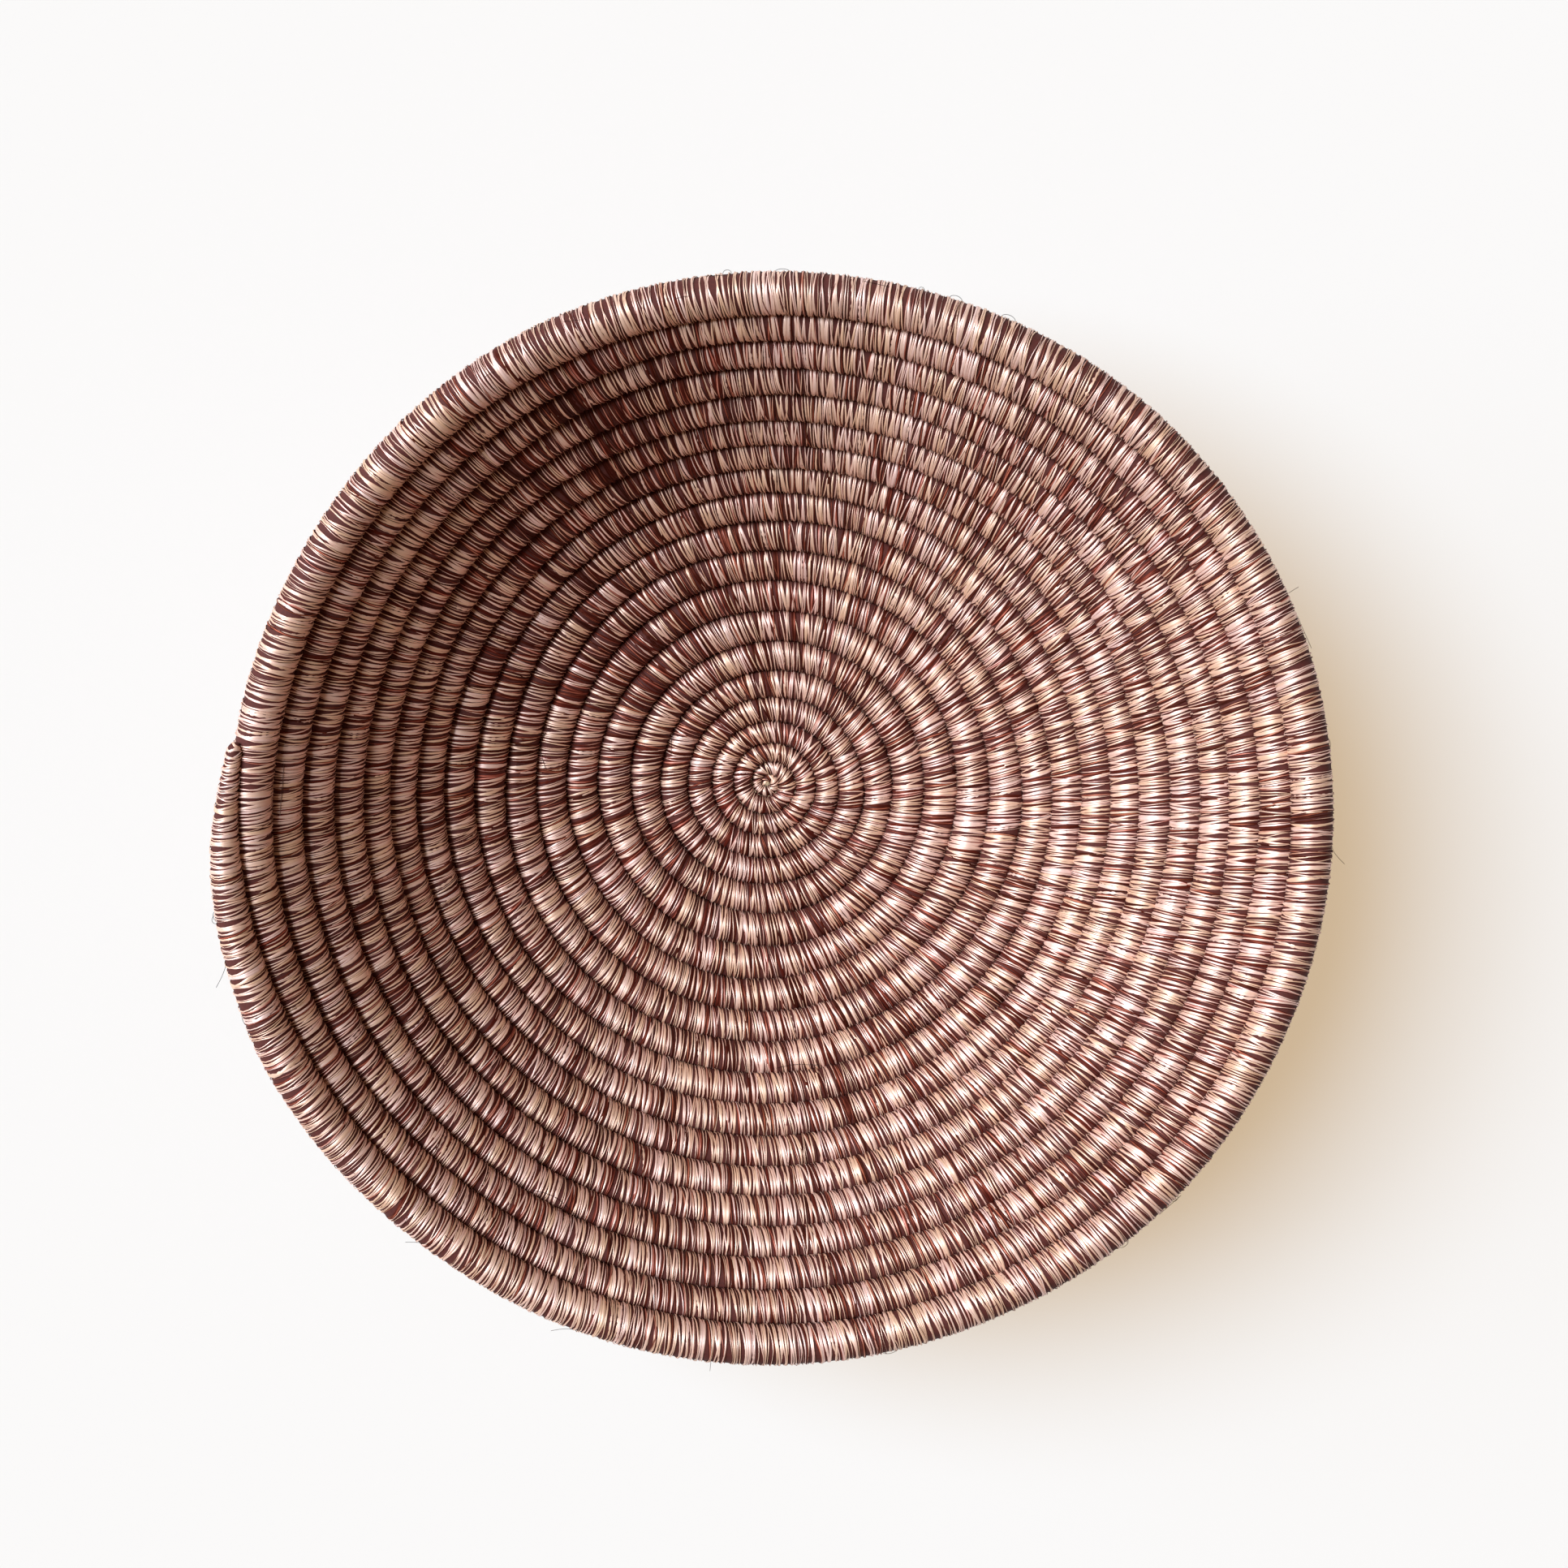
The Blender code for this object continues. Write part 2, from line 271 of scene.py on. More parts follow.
def coil_curve(name, first, last, bunching=1):
    """The coil's middle between two places. Its tilt turns its normal towards the round inside it.

    Where bunching is more than 1, its points lie closer together towards the last place.
    """
    curve = bpy.data.curves.new(name, "CURVE")
    curve.dimensions = "3D"
    curve.twist_mode = "Z_UP"
    spline = curve.splines.new("POLY")
    steps = max(FEWEST_STEPS, round((last - first) * ROUND_STEPS * bunching))
    spline.points.add(steps)
    for number, point in enumerate(spline.points):
        middle, slope, half = coil_point(last - (last - first) * (1 - number / steps) ** bunching)
        point.co = (*middle, 1)
        point.tilt = slope
        point.radius = half
    return curve


class Field:
    """A value in a node tree, so that a formula can be written as one."""

    def __init__(self, tree, socket):
        self.tree = tree
        self.socket = socket

    def maths(self, operation, *others):
        values = [self, *others]
        vector = any(is_vector(value) for value in values)
        if vector and operation == "MULTIPLY" and not all(is_vector(value) for value in values):
            if not is_vector(self):
                values = [others[0], self]
            scaled = {"Vector": values[0], "Scale": values[1]}
            return result(self.tree, "ShaderNodeVectorMath", scaled, operation="SCALE")
        kind = "ShaderNodeVectorMath" if vector else "ShaderNodeMath"
        which = "Value" if operation in ("LENGTH", "DOT_PRODUCT") else 0
        return result(self.tree, kind, dict(enumerate(values)), which, operation=operation)

    def __add__(self, other):
        return self.maths("ADD", other)

    def __sub__(self, other):
        return self.maths("SUBTRACT", other)

    def __mul__(self, other):
        return self.maths("MULTIPLY", other)

    def __truediv__(self, other):
        return self.maths("DIVIDE", other)

    def __neg__(self):
        return self.maths("MULTIPLY", -1.0)

    def __pow__(self, other):
        return self.maths("POWER", other)


def is_vector(value):
    if isinstance(value, Field):
        return value.socket.type == "VECTOR"
    return isinstance(value, (tuple, Vector))


def output(node, which=0):
    return Field(node.id_data, node.outputs[which])


def add_node(tree, kind, inputs=(), **settings):
    """A node with its settings, and its inputs linked or set by their names or numbers."""
    node = tree.nodes.new(kind)
    for name, value in settings.items():
        setattr(node, name, value)
    for name, value in dict(inputs).items():
        if isinstance(value, Field):
            tree.links.new(value.socket, node.inputs[name])
        else:
            node.inputs[name].default_value = value
    return node


def result(tree, kind, inputs=(), which=0, **settings):
    """One of a new node's outputs."""
    return output(add_node(tree, kind, inputs, **settings), which)


def split(tree, vector):
    """A vector's three parts."""
    node = add_node(tree, "ShaderNodeSeparateXYZ", {0: vector})
    return [output(node, axis) for axis in range(3)]


def joined(tree, x, y, z):
    return result(tree, "ShaderNodeCombineXYZ", {0: x, 1: y, 2: z})


def mixed(tree, share, first, second):
    """A colour between two others."""
    inputs = {"Factor": share, MIX_FIRST: first, MIX_SECOND: second}
    return result(tree, "ShaderNodeMix", inputs, MIX_RESULT, data_type="RGBA")


def circle(tree, sides, radius=1.0):
    return result(tree, "GeometryNodeCurvePrimitiveCircle", {"Resolution": sides, "Radius": radius})


def swept(tree, curve, profile, scale=1.0):
    """A profile's mesh along a curve, closed at its ends."""
    inputs = {"Curve": curve, "Profile Curve": profile, "Scale": scale, "Fill Caps": True}
    return result(tree, "GeometryNodeCurveToMesh", inputs)


def moved(tree, geometry, position):
    return result(tree, "GeometryNodeSetPosition", {"Geometry": geometry, "Position": position})


def painted(tree, geometry, material, **more):
    return result(tree, "GeometryNodeSetMaterial", {"Geometry": geometry, "Material": material, **more})


def new_tree(name, sizes):
    """A Geometry Nodes tree with a named input for each size."""
    tree = bpy.data.node_groups.new(name, "GeometryNodeTree")
    tree.interface.new_socket("Geometry", in_out="INPUT", socket_type="NodeSocketGeometry")
    tree.interface.new_socket("Geometry", in_out="OUTPUT", socket_type="NodeSocketGeometry")
    for label, kind in sizes.items():
        tree.interface.new_socket(label, in_out="INPUT", socket_type="NodeSocket" + kind)
    given = tree.nodes.new("NodeGroupInput")
    return tree, {socket.name: Field(tree, socket) for socket in given.outputs if socket.name}


def end_tree(tree, geometry):
    """Ends a tree in real faces."""
    whole = result(tree, "GeometryNodeRealizeInstances", {"Geometry": geometry})
    tree.links.new(whole.socket, tree.nodes.new("NodeGroupOutput").inputs[0])
    return tree


def finished(name, curve, tree, values):
    """What a tree makes of a curve, as one plain mesh at the origin."""
    wire = bpy.data.objects.new(name, curve)
    bpy.context.scene.collection.objects.link(wire)
    modifier = wire.modifiers.new("made", "NODES")
    modifier.node_group = tree
    for item in tree.interface.items_tree:
        if item.item_type == "SOCKET" and item.in_out == "INPUT" and item.name in values:
            modifier[item.identifier] = values[item.name]
    evaluated = wire.evaluated_get(bpy.context.evaluated_depsgraph_get())
    mesh = bpy.data.meshes.new_from_object(evaluated)
    bpy.data.objects.remove(wire, do_unlink=True)
    piece = bpy.data.objects.new(name, mesh)
    bpy.context.scene.collection.objects.link(piece)
    return piece


def stem_tree():
    """A twisted bundle of stems along a curve."""
    tree, given = new_tree("grass_stems", {"Stems": "Float", "Share": "Float", "Material": "Material"})
    place = result(tree, "GeometryNodeInputPosition")
    x, y = split(tree, place)[:2]
    angle = y.maths("ARCTAN2", x)
    lobes = (angle * given["Stems"]).maths("COSINE") * STEM_GROOVE + (1 - STEM_GROOVE)
    lobed = moved(tree, circle(tree, 3 * STEMS_AROUND), place * lobes)
    radius = result(tree, "GeometryNodeInputRadius") * given["Share"]
    bundle = swept(tree, given["Geometry"], lobed, radius)
    bundle = painted(tree, bundle, given["Material"])
    return end_tree(tree, result(tree, "GeometryNodeSetShadeSmooth", {"Geometry": bundle}))


straw, straw_tree, straw_shader = new_material("dry_grass")
straw_place = result(straw_tree, "ShaderNodeTexCoord", which="Object")
stem_noise = {"Vector": straw_place, "Scale": STEM_GRAIN, "Detail": 3.0}
stems = result(straw_tree, "ShaderNodeTexNoise", stem_noise)
straw_colour = mixed(straw_tree, stems, GRASS_BROWN, GRASS_PALE)
straw_tree.links.new(straw_colour.socket, straw_shader.inputs["Base Color"])
stem_relief = {"Height": stems, "Distance": 0.3 * MM, "Strength": 0.8}
straw_bump = result(straw_tree, "ShaderNodeBump", stem_relief)
straw_tree.links.new(straw_bump.socket, straw_shader.inputs["Normal"])
straw_shader.inputs["Roughness"].default_value = GRASS_ROUGHNESS

grass_curve = coil_curve("grass_bundle", GRASS_START, ROUNDS - GRASS_STOP)
stem_count = len(grass_curve.splines[0].points)
for number, point in enumerate(grass_curve.splines[0].points):
    point.tilt += STEM_TWIST * FULL_TURN * ROUNDS * number / stem_count
stem_values = {"Stems": float(STEMS_AROUND), "Share": STEM_SHARE, "Material": straw}
grass_bundle = finished("grass_bundle", grass_curve, stem_tree(), stem_values)
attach(grass_bundle, "root")
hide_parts("grass_core")

# The start knot
# The thinned end of the grass, rolled into a tight eye in the middle of the base. It is bound, as the
# whole coil is, with fine sisal strands, some pale rose and some maroon, over a dark layer of them.

ROSE = (0.97, 0.65, 0.575, 1)
RUST = (0.64, 0.18, 0.12, 1)
MAROON = (0.12, 0.017, 0.011, 1)
ROSE_TAN = (0.90, 0.56, 0.37, 1)
RUST_DEEP = (0.46, 0.13, 0.07, 1)
MAROON_DEEP = (0.05, 0.009, 0.006, 1)
PALE_SHEEN = (0.97, 0.98, 1.0, 1)
GROOVE_SHEEN = (0.14, 0.03, 0.02, 1)
DARK_SHEEN = (1.0, 0.42, 0.24, 1)

STRAND_PITCH = 0.66 * MM
STRAND_WIDTH = 0.86 * MM
STRAND_HEIGHT = 0.13 * MM
STRAND_LIFT = 0.30 * MM          # how much higher some strands lie than others
SHEATH_ACROSS = 1.15             # the sheath's size over the solid coil's, from round to round
SHEATH_DEEP = 1.18               # and through the wall
STRAND_LEAN = 11                 # degrees
START_LEAN = 14                  # how much more the strands lean on the tight turns of the start
# Painted shade: how much darker the strands are where they dive into the creases between the rounds.
PAINTED_CREASE_SHADE = 0.48
LEAD = 6 * MM                    # how far a round's curve and sheath run past its two ends
LENGTH_STEPS = 400

RING_SEGMENTS = 16
SECTION_SIDES = 3
RING_THICKNESS = 0.1
SHEATH_SIDES = 24
BULK_POWER = 1.3                 # most strands are fine and a few are thick
LEAST_WIDTH = 0.4                # of the finest strand, over the strand width
FINE_LIFT = 0.6                  # how much higher the fine strands lie than the thick ones
CREASE_POWER = 4.0               # how narrow the creases are
FIBRE_SHIFT = 0.7                # of the fibre pattern, from strand to strand
FLOOR_CLEARANCE = 0.05 * MM
PRESSED_HEIGHT = 0.1 * MM        # of the strands under the base, where they are pressed flat

PATCH_LENGTH = 9 * MM            # of the runs of one colour
BUNDLE_LENGTH = 2.8 * MM         # of the bundles of strands that are sewn together
BUNDLE_WANDER = 2.5              # how unevenly the bundles follow each other
PATCH_BULK = 0.5                 # how much more a thick strand takes on its patch's colour
PATCH_FINE = 0.05                # and how much less a fine one
EVERY_OTHER = 0.3                # how much darker every other strand is
DARK_DYE = 0.8                   # strands with more dye than this have the dark strands' sheen
SEED_STEP = 20.0

# How the strands and their bundles differ: the range of each quality. Its place in this list seeds
# its random draws.
QUALITIES = {
    "bulk": (0.0, 1.0),
    "pinch": (0.35, 0.85),
    "skew": (-0.2, 0.4),
    "lean": (0.4, 1.6),
    "lean shift": (-0.45, 0.45),
    "bend": (-0.4, 0.4),
    "seat": (0.15, 0.85),
    "lift": (0.0, 1.0),
    "dye": (-0.02, 0.96),
    "bundle shade": (0.05, 0.85),
    "bow": (-0.6, 0.05),
    "gather": (0.1, 0.7),
    "bundle dye": (-0.06, 0.06),
    "strand shade": (-0.2, 0.5),
}

# Broad patches where more of the strands are dark, or fewer: x, y and reach in mm, and the amount.
# The paler patches on the rim are painted highlight, where its crest catches the window's light.
DYE_AND_HIGHLIGHT_ZONES = [
    (-48, 52, 48, 0.24), (-50, 112, 34, 0.24), (122, -12, 36, -0.15), (40, 147, 45, -0.24),
    (-135, 65, 40, -0.10), (-55, -35, 25, 0.10), (152, 0, 16, 0.38), (-150, 5, 24, -0.28),
    (60, 100, 22, 0.12),
]

WRAP_SIZES = {
    "Strand Pitch": "Float", "Strand Width": "Float", "Strand Height": "Float", "Lift": "Float",
    "Lean": "Float", "Lead": "Float", "Trail": "Float", "Depth": "Float", "Closing": "Float",
    "Coil Start": "Float", "Dye Shift": "Float", "Outer Crease Shade": "Float", "Inner Crease Shade": "Float",
    "Seed": "Int", "Pale Material": "Material", "Dark Material": "Material",
    "Sheath Material": "Material",
}


def wrap_tree():
    """Strands wound round a curve, on a dark sheath of the same fibre."""
    tree, given = new_tree("sisal_wraps", WRAP_SIZES)

    def drawn(owner, quality):
        """A random value of one quality, for a strand or for a bundle."""
        low, high = QUALITIES[quality]
        salt = list(QUALITIES).index(quality) + 1.0
        inputs = {2: low, 3: high, "ID": owner, "Seed": given["Seed"] * SEED_STEP + salt}
        return result(tree, "FunctionNodeRandomValue", inputs, 1, data_type="FLOAT")

    def stored(geometry, name, value, kind="FLOAT"):
        inputs = {"Geometry": geometry, "Name": name, "Value": value}
        return result(tree, "GeometryNodeStoreNamedAttribute", inputs, data_type=kind, domain="POINT")

    def named(name, kind="FLOAT"):
        return result(tree, "GeometryNodeInputNamedAttribute", {"Name": name}, data_type=kind)

    def line_noise(place, detail):
        inputs = {"W": place, "Scale": 1.0, "Detail": detail}
        return result(tree, "ShaderNodeTexNoise", inputs, noise_dimensions="1D")

    path = given["Geometry"]
    position = result(tree, "GeometryNodeInputPosition")
    radius = result(tree, "GeometryNodeInputRadius")
    coil_run = result(tree, "GeometryNodeCurveLength", {"Curve": path})
    run = coil_run - given["Lead"] - given["Trail"]
    count = (run / given["Strand Pitch"]).maths("ROUND")

    # One strand as a thin closed ring, sharp along its foot, and a copy for each place on the coil.
    strand = swept(tree, circle(tree, RING_SEGMENTS), circle(tree, SECTION_SIDES, RING_THICKNESS))
    strand = stored(strand, "ring_place", position, "FLOAT_VECTOR")
    edge = add_node(tree, "GeometryNodeInputMeshEdgeVertices")
    squared_radii = []
    for end_number in (2, 3):
        end_x, end_y = split(tree, output(edge, end_number))[:2]
        squared_radii.append(end_x * end_x + end_y * end_y)
    foot = (squared_radii[0] + squared_radii[1]).maths("LESS_THAN", 2.0)
    sharp = {"Geometry": strand, "Selection": foot, "Shade Smooth": False}
    strand = result(tree, "GeometryNodeSetShadeSmooth", sharp, domain="EDGE")
    points = result(tree, "GeometryNodePoints", {"Count": count})
    points = stored(points, "strand", result(tree, "GeometryNodeInputIndex"))
    copies = result(tree, "GeometryNodeInstanceOnPoints", {"Points": points, "Instance": strand})
    copies = result(tree, "GeometryNodeRealizeInstances", {"Geometry": copies})

    # Where each corner of a strand is: round the coil, across the strand and over the sheath.
    ring_x, ring_y, ring_z = split(tree, named("ring_place", "FLOAT_VECTOR"))
    ring_radius = (ring_x * ring_x + ring_y * ring_y) ** 0.5
    outward_share = ring_x / ring_radius
    inward_share = ring_y / ring_radius
    over = (ring_radius - 1.0) / RING_THICKNESS
    across = ring_z / (RING_THICKNESS * math.sin(FULL_TURN / SECTION_SIDES))

    # Each strand's own width, lean and place.
    strand_number = named("strand")
    bulk = drawn(strand_number, "bulk") ** BULK_POWER
    width = given["Strand Width"] * (bulk + LEAST_WIDTH)
    pinch = outward_share * outward_share * drawn(strand_number, "pinch")
    skew = outward_share * drawn(strand_number, "skew")
    width = width * (pinch * -1.0 + 1.0 + skew)
    lean = given["Lean"] * drawn(strand_number, "lean") + drawn(strand_number, "lean shift") * MM
    bend = outward_share * inward_share * drawn(strand_number, "bend") * MM
    bow = inward_share * drawn(strand_number, "bow") * MM
    seat = (strand_number + drawn(strand_number, "seat")) * given["Strand Pitch"] + given["Lead"]

    # The strands are sewn in bundles, which draw together in the creases.
    wander = line_noise(seat / PATCH_LENGTH, 0.0) * BUNDLE_WANDER
    bundle = (seat / BUNDLE_LENGTH + wander).maths("FLOOR")
    bundle_middle = (bundle + 0.5 - wander) * BUNDLE_LENGTH
    gather = (bundle_middle - seat) * outward_share ** CREASE_POWER * drawn(bundle, "gather")
    along = seat - lean * outward_share + bend + bow + gather + across * width * 0.5
    lift = given["Lift"] * (drawn(strand_number, "lift") + FINE_LIFT - bulk * FINE_LIFT)

    coil_there = {"Curves": path, "Length": along, "Value": radius}
    sample = add_node(tree, "GeometryNodeSampleCurve", coil_there, mode="LENGTH")
    half = output(sample, "Value")
    middle = output(sample, "Position")
    tangent = output(sample, "Tangent")
    normal = output(sample, "Normal")
    facing_in = normal.maths("CROSS_PRODUCT", tangent)
    raised = over * given["Strand Height"] + lift
    reach_out = half * given["Closing"] + raised
    reach_in = half * given["Depth"] + raised
    place = middle - normal * (reach_out * outward_share) + facing_in * (reach_in * inward_share)
    x, y, z = split(tree, place)
    lowest = (-over + 1.0) * PRESSED_HEIGHT + FLOOR_CLEARANCE
    copies = moved(tree, copies, joined(tree, x, y, z.maths("MAXIMUM", lowest)))

    # The dye: every other strand is mostly darker, with short runs of one colour between.
    patches = line_noise((seat + given["Coil Start"]) / PATCH_LENGTH, 1.0)
    dye = (patches - 0.5) * (bulk * PATCH_BULK - PATCH_FINE) + drawn(strand_number, "dye")
    every_other = strand_number.maths("MODULO", 2.0) - 0.5
    dye = dye + every_other * EVERY_OTHER + drawn(bundle, "bundle dye") + given["Dye Shift"]
    # Painted highlight: the paler patches on the rim lighten its strands where its crest catches the
    # window's light.
    for zone_x, zone_y, reach, amount in DYE_AND_HIGHLIGHT_ZONES:
        away = middle - Vector((zone_x, zone_y, 0)) * MM
        away = away.maths("MULTIPLY", (1.0, 1.0, 0.0)).maths("LENGTH")
        dye = dye + (-(away / (reach * MM)) ** 2.0).maths("EXPONENT") * amount
    copies = stored(copies, "dye", dye)

    # What the materials read: the strand's edges and the painted shade of its creases, the coil's way, shade
    # and fibres.
    # Painted shade: the strands darken where they dive into the creases between the rounds.
    crease_shade = outward_share.maths("MAXIMUM", 0.0) ** CREASE_POWER * given["Outer Crease Shade"]
    crease_shade = crease_shade + (-outward_share).maths("MAXIMUM", 0.0) ** CREASE_POWER * given["Inner Crease Shade"]
    # Partly dark fibres, partly painted shade: strands darken along their edges, for their darker fibres
    # there and as painted contact shadow.
    copies = stored(copies, "edge", across.maths("ABSOLUTE") + crease_shade)
    copies = stored(copies, "coil_way", tangent, "FLOAT_VECTOR")
    shade = drawn(bundle, "bundle shade") + drawn(strand_number, "strand shade")
    copies = stored(copies, "shade", shade)
    angle = inward_share.maths("ARCTAN2", outward_share)
    fibre = joined(tree, across * width, angle * half, strand_number * FIBRE_SHIFT)
    copies = stored(copies, "fibre", fibre, "FLOAT_VECTOR")
    strands = painted(tree, copies, given["Pale Material"])
    dark = dye.maths("GREATER_THAN", DARK_DYE)
    strands = painted(tree, strands, given["Dark Material"], Selection=dark)

    # The sheath, closed at both ends.
    sides = joined(tree, given["Closing"], given["Depth"], 1.0)
    profile = {"Geometry": circle(tree, SHEATH_SIDES), "Scale": sides}
    profile = result(tree, "GeometryNodeTransform", profile)
    sheath = swept(tree, path, profile, radius)
    x, y, z = split(tree, position)
    sheath_level = z.maths("MAXIMUM", FLOOR_CLEARANCE + 2 * PRESSED_HEIGHT)
    sheath = moved(tree, sheath, joined(tree, x, y, sheath_level))
    sheath = painted(tree, sheath, given["Sheath Material"])

    both = add_node(tree, "GeometryNodeJoinGeometry")
    tree.links.new(sheath.socket, both.inputs[0])
    tree.links.new(strands.socket, both.inputs[0])
    return end_tree(tree, result(tree, "GeometryNodeSetShadeSmooth", {"Geometry": output(both)}))


SISAL_ROUGHNESS = 0.54
SISAL_IOR = 2.1
SISAL_ANISOTROPY = 0.6
MIDDLE_STOP = 0.45               # where rust lies between the pale and the dark colour
FIBRE_SCALE = (5000.0, 260.0, 1.0)       # of the fibres in a strand, across and along it
BLOTCH_SCALE = (900.0, 160.0, 1.0)
FIBRE_DYE = 0.2
BLOTCH_DYE = 0.45
# Partly dark fibres, partly painted shade: strands darken along their edges and in the creases, for their
# darker edge fibres and as painted contact shadow and shade in the creases.
EDGE_DYE_AND_SHADE = 0.65                  # how much darker a strand is along its edges
EDGE_RANGE = (0.3, 1.0)
DYE_RANGE = (0.64, 1.0)          # from the palest strands to the darkest
SHEATH_GRAIN = 1500.0
SHEATH_ROUGHNESS = 0.8


def ramp(tree, value, low, high):
    """From 0 at the low value to 1 at the high one, smoothly."""
    inputs = {"Value": value, "From Min": low, "From Max": high}
    return result(tree, "ShaderNodeMapRange", inputs, interpolation_type="SMOOTHSTEP")


def three_colours(tree, share, first, middle, last):
    ramp_node = add_node(tree, "ShaderNodeValToRGB", {"Fac": share})
    stops = ramp_node.color_ramp.elements
    stops[0].color = first
    stops.new(MIDDLE_STOP).color = middle
    stops[2].color = last
    return output(ramp_node)


def strand_material(name, sheen, level, metallic):
    """Dyed sisal: silky, with fine fibres along each strand."""
    material, tree, shader = new_material(name)

    def attribute(name, which="Fac"):
        return result(tree, "ShaderNodeAttribute", which=which, attribute_name=name)

    def fibre_noise(scale, detail):
        inputs = {"Vector": fibre.maths("MULTIPLY", scale), "Scale": 1.0, "Detail": detail}
        return result(tree, "ShaderNodeTexNoise", inputs)

    fibre = attribute("fibre", "Vector")
    fine = fibre_noise(FIBRE_SCALE, 2.0)
    blotches = fibre_noise(BLOTCH_SCALE, 1.0)
    # Painted shade, with dark fibres: each strand darkens along its edges, for its darker fibres and as
    # painted contact shadow, and in the creases as painted shade.
    groove_dye_and_shade = ramp(tree, attribute("edge"), *EDGE_RANGE)
    dye = attribute("dye") + (fine - 0.5) * FIBRE_DYE + (blotches - 0.5) * BLOTCH_DYE + groove_dye_and_shade * EDGE_DYE_AND_SHADE
    dark = ramp(tree, dye, *DYE_RANGE)
    fresh = three_colours(tree, dark, ROSE, RUST, MAROON)
    aged = three_colours(tree, dark, ROSE_TAN, RUST_DEEP, MAROON_DEEP)
    colour = mixed(tree, attribute("shade"), fresh, aged)
    tree.links.new(colour.socket, shader.inputs["Base Color"])
    relief = {"Height": fine, "Distance": 0.05 * MM, "Strength": 0.4}
    bump = result(tree, "ShaderNodeBump", relief)
    tree.links.new(bump.socket, shader.inputs["Normal"])
    tree.links.new(attribute("coil_way", "Vector").socket, shader.inputs["Tangent"])
    tint = mixed(tree, dark, PALE_SHEEN, sheen)
    tree.links.new(tint.socket, shader.inputs["Specular Tint"])
    shader.inputs["Anisotropic"].default_value = SISAL_ANISOTROPY
    shader.inputs["Metallic"].default_value = metallic
    shader.inputs["Roughness"].default_value = SISAL_ROUGHNESS
    shader.inputs["IOR"].default_value = SISAL_IOR
    shader.inputs["Specular IOR Level"].default_value = level
    return material


def sheath_material():
    """The same fibre in the gaps between the strands."""
    material, tree, shader = new_material("sheath_sisal")
    place = result(tree, "ShaderNodeTexCoord", which="Object")
    noise = result(tree, "ShaderNodeTexNoise", {"Vector": place, "Scale": SHEATH_GRAIN})
    colour = mixed(tree, noise, MAROON_DEEP, MAROON)
    tree.links.new(colour.socket, shader.inputs["Base Color"])
    shader.inputs["Roughness"].default_value = SHEATH_ROUGHNESS
    return material


PALE_STRANDS = strand_material("pale_sisal", GROOVE_SHEEN, level=0.9, metallic=0.26)
DARK_STRANDS = strand_material("dark_sisal", DARK_SHEEN, level=0.08, metallic=0.3)
SHEATH = sheath_material()
WRAPS = wrap_tree()


def coil_length(first, last):
    places = [first + (last - first) * step / LENGTH_STEPS for step in range(LENGTH_STEPS + 1)]
    middles = [coil_point(place)[0] for place in places]
    return sum((there - here).length for here, there in zip(middles, middles[1:]))


def wind_sisal(name, first, last, coil_start, changes, bunching=1):
    """The strands of the coil between two places, and its length there.

    The curve and the sheath run on past both places, so that leaning strands have a coil to lie on.
    """
    around = coil_length(first, last)
    lead = min(LEAD, around / 4) / around
    start = max(first - lead, -CURL_ROUNDS)
    end = min(last + lead, ROUNDS)
    lean_angle = math.radians(STRAND_LEAN + START_LEAN * math.exp(-last / 2))
    values = {
        "Strand Pitch": STRAND_PITCH,
        "Strand Width": STRAND_WIDTH,
        "Strand Height": STRAND_HEIGHT,
        "Lift": STRAND_LIFT,
        "Lean": math.tan(lean_angle) * half_width(max(0, last - 0.5)),
        "Lead": coil_length(start, first),
        "Trail": coil_length(last, end),
        "Depth": SHEATH_DEEP,
        "Closing": SHEATH_ACROSS,
        "Coil Start": coil_start,
        "Dye Shift": 0.0,
        "Outer Crease Shade": PAINTED_CREASE_SHADE,
        "Inner Crease Shade": PAINTED_CREASE_SHADE,
        "Seed": last,
        "Pale Material": PALE_STRANDS,
        "Dark Material": DARK_STRANDS,
        "Sheath Material": SHEATH,
        **changes,
    }
    curve = coil_curve(name, start, end, bunching)
    return finished(name, curve, WRAPS, values), around


sisal_start, coil_so_far = wind_sisal("sisal_start", -CURL_ROUNDS, 0, 0, {})
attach(sisal_start, "root")
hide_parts("start_knot")

# The sisal rounds
# Strands of sisal, wound tightly and a little slanted round the grass and sewn into the round inside,
# where they draw together in bundles. The last round is the rim, which ends in the drawn-in tail.

# The rim has no painted shade on its outer side and fewer dark strands.
RIM_CHANGES = {"Dye Shift": -0.2, "Outer Crease Shade": 0.0}
RIM_BUNCHING = 2                 # of the curve's points, towards the tail's drawn-in end

for number in range(1, ROUNDS + 1):
    name = "sisal_round_%02d" % number
    made_as = (RIM_CHANGES, RIM_BUNCHING) if number == ROUNDS else ({}, 1)
    sisal_round, around = wind_sisal(name, number - 1, number, coil_so_far, *made_as)
    coil_so_far += around
    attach(sisal_round, "root")
    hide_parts("sisal_wrap_%02d" % number)

# The loose fibres
# Here and there the end of a sisal fibre has come free: fine pale hairs in the creases and round the
# outline, and small loops on the rim. They are part of the strands.

HAIR_RADIUS = 0.06 * MM
HAIR_SIDES = 4
HAIR_POINTS = 14
HAIR_SEAT = 1.16                 # the strands' surface over the coil's half width
CREASE_OFF = 0.5 * MM            # how far the hairs and loops start off that surface
EDGE_OFF = 0.3 * MM
LOOP_OFF = 0.1 * MM
HAIR_SEED = 7

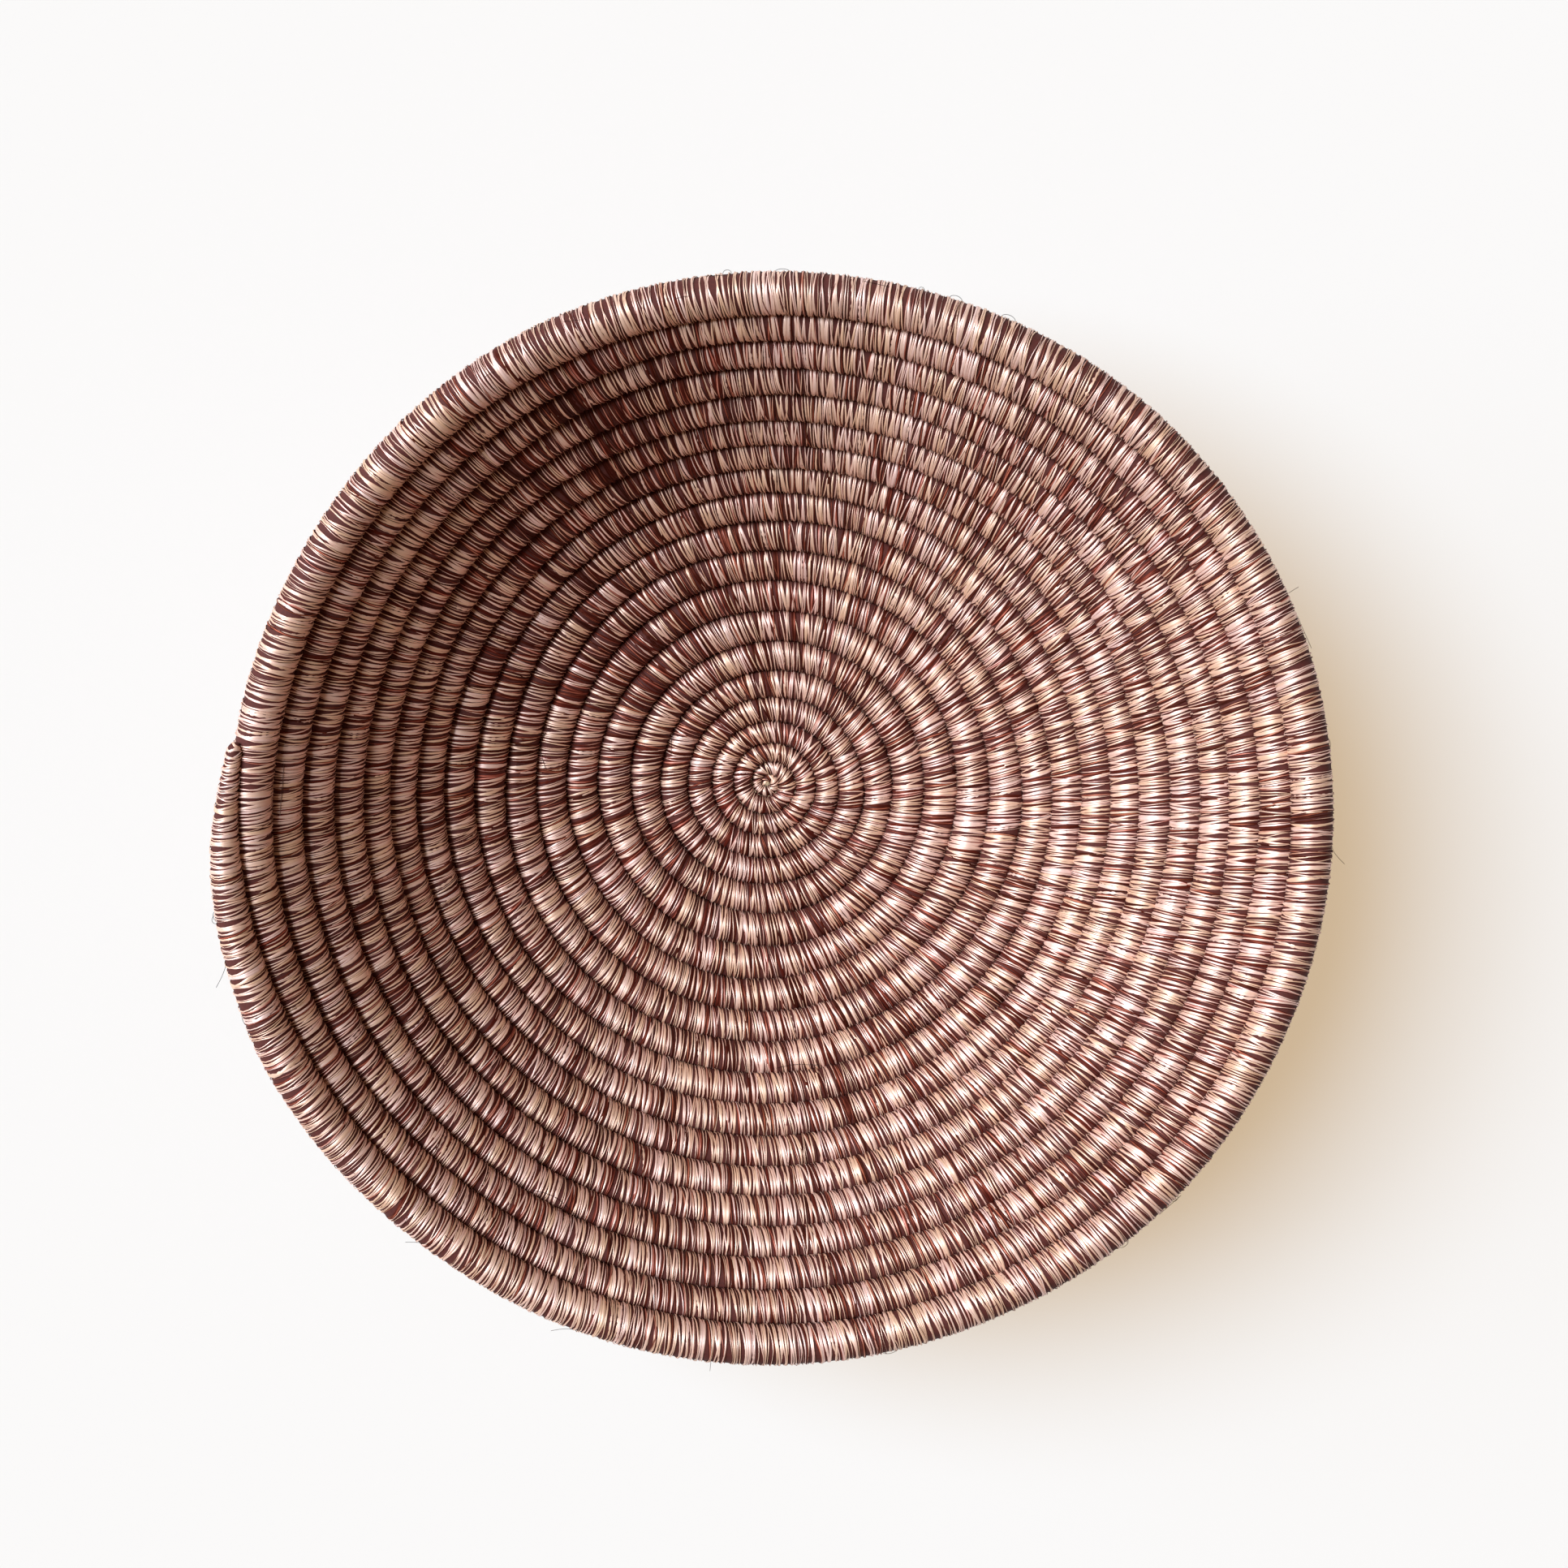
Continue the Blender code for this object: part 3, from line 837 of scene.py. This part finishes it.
# How many hairs and loops there are, and their ranges: the place on the coil in rounds, the run along
# it and the rise above it in mm, and the side of the coil in radians.
LONG_HAIR = 16.995               # the place of the long hair on the photograph's left
CREASE_HAIRS = {"count": 16, "place": (3, 18.5), "run": (8, 18), "side": (0.5, 0.9), "sway": (-0.3, 0.3)}
EDGE_HAIRS = {"count": 12, "place": (18.05, 18.95), "run": (-9, 9), "rise": (1.5, 6), "side": (-1.2, 0.6)}
RIM_LOOPS = {"count": 26, "place": (18.0, 18.98), "run": (0.6, 1.6), "rise": (0.5, 1.1), "side": (-1.0, 1.2)}
EDGE_BENDS = (0.5, 0.95)         # half turns from an edge hair's root to its tip
EDGE_CURVE = 1.5
SWAY_ANGLE = 4


def on_coil(place, around, off):
    """A point on the coil's surface. Around is 0 where the next round lies and a quarter on its face."""
    middle, slope, half = coil_point(place)
    azimuth = coil_azimuth(place)
    level = Vector((math.cos(azimuth), math.sin(azimuth), 0))
    up = Vector((0, 0, 1))
    outwards = level * math.cos(slope) + up * math.sin(slope)
    facing_in = up * math.cos(slope) - level * math.sin(slope)
    reach = half * HAIR_SEAT + off
    return middle + (outwards * math.cos(around) + facing_in * math.sin(around)) * reach


def hair_tree():
    """Fine round hairs along curves."""
    tree, given = new_tree("hairs", {"Radius": "Float", "Material": "Material"})
    ring = circle(tree, HAIR_SIDES, given["Radius"])
    hairs = swept(tree, given["Geometry"], ring)
    return end_tree(tree, painted(tree, hairs, given["Material"]))


def add_hair(curve, points):
    spline = curve.splines.new("POLY")
    spline.points.add(len(points) - 1)
    for spline_point, point in zip(spline.points, points):
        spline_point.co = (*point, 1)


def draw(ranges, quality):
    return dice.uniform(*ranges[quality])


dice = random.Random(HAIR_SEED)
hairs = bpy.data.curves.new("loose_fibres", "CURVE")
hairs.dimensions = "3D"
steps = [number / (HAIR_POINTS - 1) for number in range(HAIR_POINTS)]

crease_places = [LONG_HAIR] + [draw(CREASE_HAIRS, "place") for number in range(CREASE_HAIRS["count"])]
for place in crease_places:
    turn = draw(CREASE_HAIRS, "run") * MM / section(run_out(place))[0] / FULL_TURN
    around = draw(CREASE_HAIRS, "side")
    sway = draw(CREASE_HAIRS, "sway")
    sides = [around + sway * math.sin(SWAY_ANGLE * step) for step in steps]
    add_hair(hairs, [on_coil(place - turn * step, side, CREASE_OFF) for step, side in zip(steps, sides)])

for number in range(EDGE_HAIRS["count"]):
    place = draw(EDGE_HAIRS, "place")
    turn = draw(EDGE_HAIRS, "run") * MM / BOWL_RADIUS / FULL_TURN
    rise = draw(EDGE_HAIRS, "rise") * MM
    side = draw(EDGE_HAIRS, "side")
    bow = [math.sin(math.pi * dice.choice(EDGE_BENDS)) for step in steps][-1]
    offs = [EDGE_OFF + rise * bow * step ** EDGE_CURVE for step in steps]
    add_hair(hairs, [on_coil(place + turn * step, side, off) for step, off in zip(steps, offs)])

for number in range(RIM_LOOPS["count"]):
    place = draw(RIM_LOOPS, "place")
    turn = draw(RIM_LOOPS, "run") * MM / BOWL_RADIUS / FULL_TURN
    side = draw(RIM_LOOPS, "side")
    rise = draw(RIM_LOOPS, "rise") * MM
    runs = [turn * math.cos(math.pi * step) for step in steps]
    offs = [LOOP_OFF + rise * math.sin(math.pi * step) for step in steps]
    add_hair(hairs, [on_coil(place + run, side, off) for run, off in zip(runs, offs)])

hair_values = {"Radius": HAIR_RADIUS, "Material": PALE_STRANDS}
loose_fibres = finished("loose_fibres", hairs, hair_tree(), hair_values)
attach(loose_fibres, "root")
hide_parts("sisal_wrap_19")
